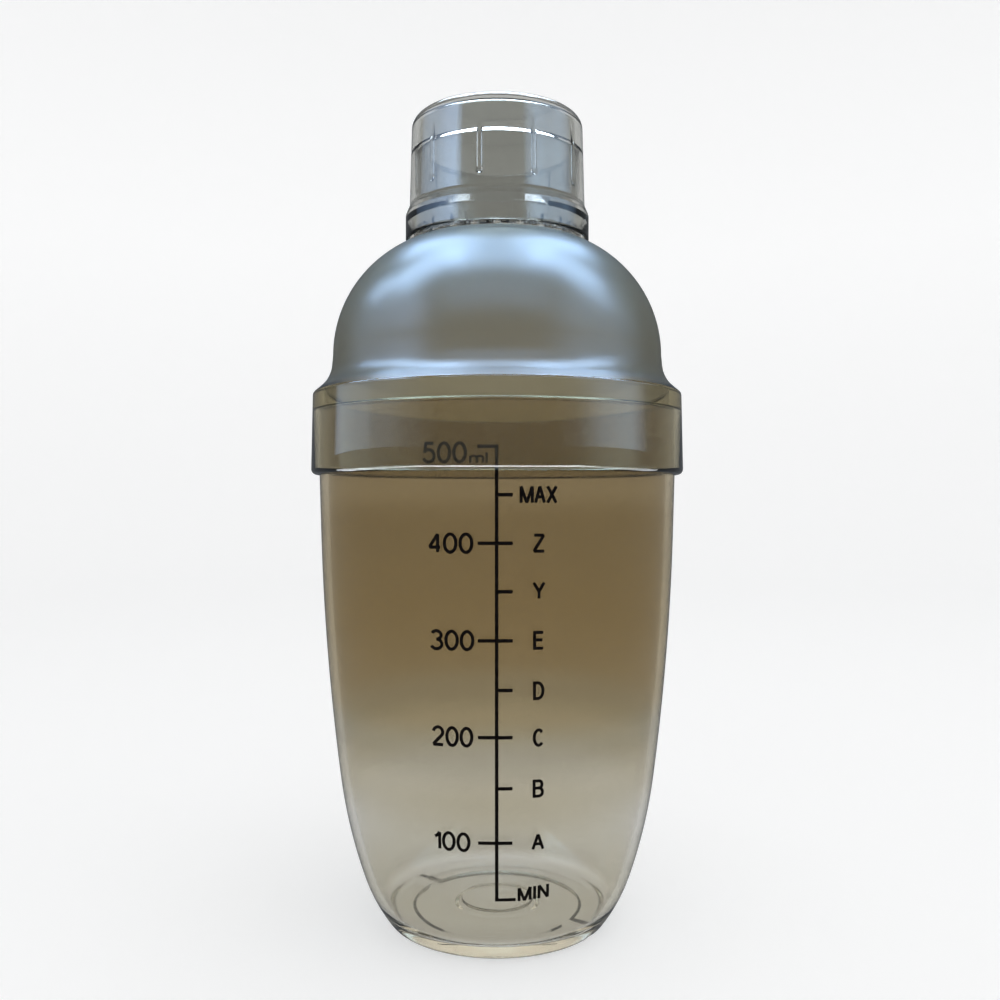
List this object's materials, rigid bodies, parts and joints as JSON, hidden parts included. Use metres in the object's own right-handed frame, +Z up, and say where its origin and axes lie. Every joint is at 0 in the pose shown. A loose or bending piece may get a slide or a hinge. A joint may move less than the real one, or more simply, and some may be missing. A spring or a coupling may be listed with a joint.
{
  "type": "shaker bottle",
  "caption": "Clear plastic shaker bottle: a tapered graduated cup, a frosted dome lid with a strainer neck, and a small press-on cap.",
  "frame": {"origin": "centre of the resting ring, on the surface the cup stands on", "axes": "+Z up the bottle's axis; the printed scale is at -Y; +X is to the right when facing the scale"},
  "size_m": [0.0916, 0.0916, 0.198],
  "materials": {
    "clear_plastic": "clear, faintly smoke-tinted styrene plastic",
    "frosted_plastic": "clear plastic with a satin inside; the skirt is left clear",
    "insert_plastic": "clear polished plastic",
    "cap_plastic": "clear polished plastic",
    "ink": "black screen-printed ink"
  },
  "bodies": {
    "cup": {"cup": "clear_plastic", "scale_line": "ink"},
    "lid": {"lid": "frosted_plastic", "strainer": "insert_plastic"},
    "cap": {"cap": "cap_plastic"}
  },
  "joints": [
    {"name": "lid_lift", "type": "slide", "parent": "cup", "child": "lid", "axis": [0, 0, 1], "range_m": [0, 0.06]},
    {"name": "cap_lift", "type": "slide", "parent": "lid", "child": "cap", "axis": [0, 0, 1], "range_m": [0, 0.04]}
  ]
}
